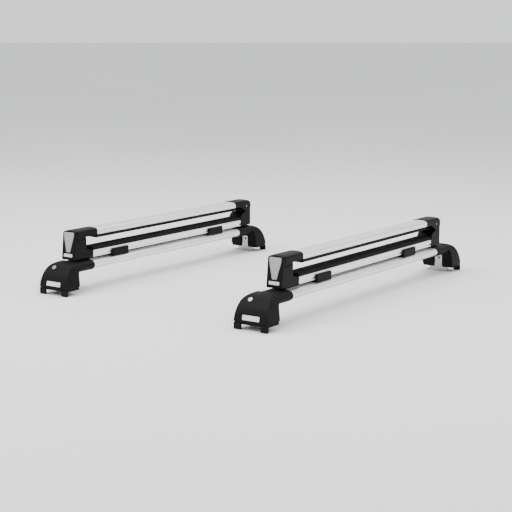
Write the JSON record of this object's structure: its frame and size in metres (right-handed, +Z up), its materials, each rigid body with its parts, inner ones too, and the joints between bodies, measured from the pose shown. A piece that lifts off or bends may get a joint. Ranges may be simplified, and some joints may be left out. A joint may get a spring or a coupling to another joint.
{
  "type": "roof ski rack",
  "caption": "Roof ski rack: wing-section load bars on locking rail feet, carrying hinged ski and snowboard clamps with rubber pads, push-button latches and lifting hinges.",
  "frame": {"origin": "middle of the rack in plan, level with the tips of the rail claws (bottom centre of the bounding box)", "axes": "+X to the front of the car, +Y across the car along the bars, away from the push buttons, +Z up"},
  "size_m": [0.8194, 1.066, 0.1772],
  "materials": {
    "bar_aluminium": "satin anodised",
    "arm_aluminium": "satin anodised",
    "rubber": "matt",
    "clamp_plastic": "fine grain",
    "foot_plastic": "fine grain",
    "button_grey": "satin",
    "lock_metal": "nickel plated",
    "steel": "zinc plated"
  },
  "bodies": {
    "rack": {"front_bar_strip": "rubber", "front_crossbar": "bar_aluminium", "front_far_foot_body": "foot_plastic", "front_far_rail_shoe": "rubber", "front_hinge_post": "clamp_plastic", "front_latch_tower": "clamp_plastic", "front_lower_arm": "arm_aluminium", "front_lower_pad": "rubber", "front_mount_block_far": "foot_plastic", "front_mount_block_near": "foot_plastic", "front_near_foot_body": "foot_plastic", "front_near_rail_shoe": "rubber", "front_t_bolt_far": "steel", "front_t_bolt_near": "steel", "rear_bar_strip": "rubber", "rear_crossbar": "bar_aluminium", "rear_far_foot_body": "foot_plastic", "rear_far_rail_shoe": "rubber", "rear_hinge_post": "clamp_plastic", "rear_latch_tower": "clamp_plastic", "rear_lower_arm": "arm_aluminium", "rear_lower_pad": "rubber", "rear_mount_block_far": "foot_plastic", "rear_mount_block_near": "foot_plastic", "rear_near_foot_body": "foot_plastic", "rear_near_rail_shoe": "rubber", "rear_t_bolt_far": "steel", "rear_t_bolt_near": "steel"},
    "front_clamp_lift": {"front_lift_block": "clamp_plastic", "front_hinge_pin": "steel"},
    "front_clamp_arm": {"front_upper_arm": "arm_aluminium", "front_upper_pad": "rubber", "front_handle_cap": "clamp_plastic", "front_hinge_cap": "clamp_plastic"},
    "front_button": {"front_release_button": "button_grey"},
    "front_key": {"front_key_lock": "lock_metal"},
    "rear_clamp_lift": {"rear_lift_block": "clamp_plastic", "rear_hinge_pin": "steel"},
    "rear_clamp_arm": {"rear_upper_arm": "arm_aluminium", "rear_upper_pad": "rubber", "rear_handle_cap": "clamp_plastic", "rear_hinge_cap": "clamp_plastic"},
    "rear_button": {"rear_release_button": "button_grey"},
    "rear_key": {"rear_key_lock": "lock_metal"},
    "front_near_cover": {"front_near_foot_cover": "foot_plastic"},
    "front_near_lock": {"front_near_foot_lock": "lock_metal"},
    "front_near_jaw": {"front_near_claw": "steel"},
    "front_near_screw": {"front_near_clamp_screw": "steel"},
    "front_far_cover": {"front_far_foot_cover": "foot_plastic"},
    "front_far_lock": {"front_far_foot_lock": "lock_metal"},
    "front_far_jaw": {"front_far_claw": "steel"},
    "front_far_screw": {"front_far_clamp_screw": "steel"},
    "rear_near_cover": {"rear_near_foot_cover": "foot_plastic"},
    "rear_near_lock": {"rear_near_foot_lock": "lock_metal"},
    "rear_near_jaw": {"rear_near_claw": "steel"},
    "rear_near_screw": {"rear_near_clamp_screw": "steel"},
    "rear_far_cover": {"rear_far_foot_cover": "foot_plastic"},
    "rear_far_lock": {"rear_far_foot_lock": "lock_metal"},
    "rear_far_jaw": {"rear_far_claw": "steel"},
    "rear_far_screw": {"rear_far_clamp_screw": "steel"}
  },
  "joints": [
    {"name": "front_lift", "type": "slide", "parent": "rack", "child": "front_clamp_lift", "axis": [0, 0, 1], "range_m": [0, 0.03]},
    {"name": "front_arm_swing", "type": "hinge", "parent": "front_clamp_lift", "child": "front_clamp_arm", "pos_m": [0.3575, 0.421, 0.157], "axis": [-1, 0, 0], "range_deg": [0, 75]},
    {"name": "front_button_press", "type": "slide", "parent": "rack", "child": "front_button", "axis": [0, 1, 0], "range_m": [0, 0.004], "stiffness_N_per_m": 700, "springref_m": -0.006},
    {"name": "front_key_turn", "type": "hinge", "parent": "rack", "child": "front_key", "pos_m": [0.3323, -0.389, 0.129], "axis": [-1, 0, 0], "range_deg": [0, 90]},
    {"name": "rear_lift", "type": "slide", "parent": "rack", "child": "rear_clamp_lift", "axis": [0, 0, 1], "range_m": [0, 0.03]},
    {"name": "rear_arm_swing", "type": "hinge", "parent": "rear_clamp_lift", "child": "rear_clamp_arm", "pos_m": [-0.3575, 0.421, 0.157], "axis": [-1, 0, 0], "range_deg": [0, 75]},
    {"name": "rear_button_press", "type": "slide", "parent": "rack", "child": "rear_button", "axis": [0, 1, 0], "range_m": [0, 0.004], "stiffness_N_per_m": 700, "springref_m": -0.006},
    {"name": "rear_key_turn", "type": "hinge", "parent": "rack", "child": "rear_key", "pos_m": [-0.3827, -0.389, 0.129], "axis": [-1, 0, 0], "range_deg": [0, 90]},
    {"name": "front_near_cover_hinge", "type": "hinge", "parent": "rack", "child": "front_near_cover", "pos_m": [0.3575, -0.49, 0.0853], "axis": [-1, 0, 0], "range_deg": [0, 60]},
    {"name": "front_near_lock_turn", "type": "hinge", "parent": "front_near_cover", "child": "front_near_lock", "pos_m": [0.3395, -0.5064, 0.075], "axis": [0, -0.7071, 0.7071], "range_deg": [0, 90]},
    {"name": "front_near_screw_turn", "type": "hinge", "parent": "rack", "child": "front_near_screw", "pos_m": [0.3575, -0.52, 0.04], "axis": [0, -1, 0], "range_deg": [0, 1440]},
    {"name": "front_near_claw_slide", "type": "slide", "parent": "rack", "child": "front_near_jaw", "axis": [0, 1, 0], "range_m": [0, 0.008]},
    {"name": "front_far_cover_hinge", "type": "hinge", "parent": "rack", "child": "front_far_cover", "pos_m": [0.3575, 0.49, 0.0853], "axis": [1, 0, 0], "range_deg": [0, 60]},
    {"name": "front_far_lock_turn", "type": "hinge", "parent": "front_far_cover", "child": "front_far_lock", "pos_m": [0.3755, 0.5064, 0.075], "axis": [0, 0.7071, 0.7071], "range_deg": [0, 90]},
    {"name": "front_far_screw_turn", "type": "hinge", "parent": "rack", "child": "front_far_screw", "pos_m": [0.3575, 0.52, 0.04], "axis": [0, 1, 0], "range_deg": [0, 1440]},
    {"name": "front_far_claw_slide", "type": "slide", "parent": "rack", "child": "front_far_jaw", "axis": [0, -1, 0], "range_m": [0, 0.008]},
    {"name": "rear_near_cover_hinge", "type": "hinge", "parent": "rack", "child": "rear_near_cover", "pos_m": [-0.3575, -0.45, 0.0853], "axis": [-1, 0, 0], "range_deg": [0, 60]},
    {"name": "rear_near_lock_turn", "type": "hinge", "parent": "rear_near_cover", "child": "rear_near_lock", "pos_m": [-0.3755, -0.4664, 0.075], "axis": [0, -0.7071, 0.7071], "range_deg": [0, 90]},
    {"name": "rear_near_screw_turn", "type": "hinge", "parent": "rack", "child": "rear_near_screw", "pos_m": [-0.3575, -0.48, 0.04], "axis": [0, -1, 0], "range_deg": [0, 1440]},
    {"name": "rear_near_claw_slide", "type": "slide", "parent": "rack", "child": "rear_near_jaw", "axis": [0, 1, 0], "range_m": [0, 0.008]},
    {"name": "rear_far_cover_hinge", "type": "hinge", "parent": "rack", "child": "rear_far_cover", "pos_m": [-0.3575, 0.45, 0.0853], "axis": [1, 0, 0], "range_deg": [0, 60]},
    {"name": "rear_far_lock_turn", "type": "hinge", "parent": "rear_far_cover", "child": "rear_far_lock", "pos_m": [-0.3395, 0.4664, 0.075], "axis": [0, 0.7071, 0.7071], "range_deg": [0, 90]},
    {"name": "rear_far_screw_turn", "type": "hinge", "parent": "rack", "child": "rear_far_screw", "pos_m": [-0.3575, 0.48, 0.04], "axis": [0, 1, 0], "range_deg": [0, 1440]},
    {"name": "rear_far_claw_slide", "type": "slide", "parent": "rack", "child": "rear_far_jaw", "axis": [0, -1, 0], "range_m": [0, 0.008]}
  ],
  "couplings": [
    {"joint": "front_near_screw_turn", "follows": "front_near_claw_slide", "rad_per_m": 3141},
    {"joint": "front_far_screw_turn", "follows": "front_far_claw_slide", "rad_per_m": 3141},
    {"joint": "rear_near_screw_turn", "follows": "rear_near_claw_slide", "rad_per_m": 3141},
    {"joint": "rear_far_screw_turn", "follows": "rear_far_claw_slide", "rad_per_m": 3141}
  ]
}
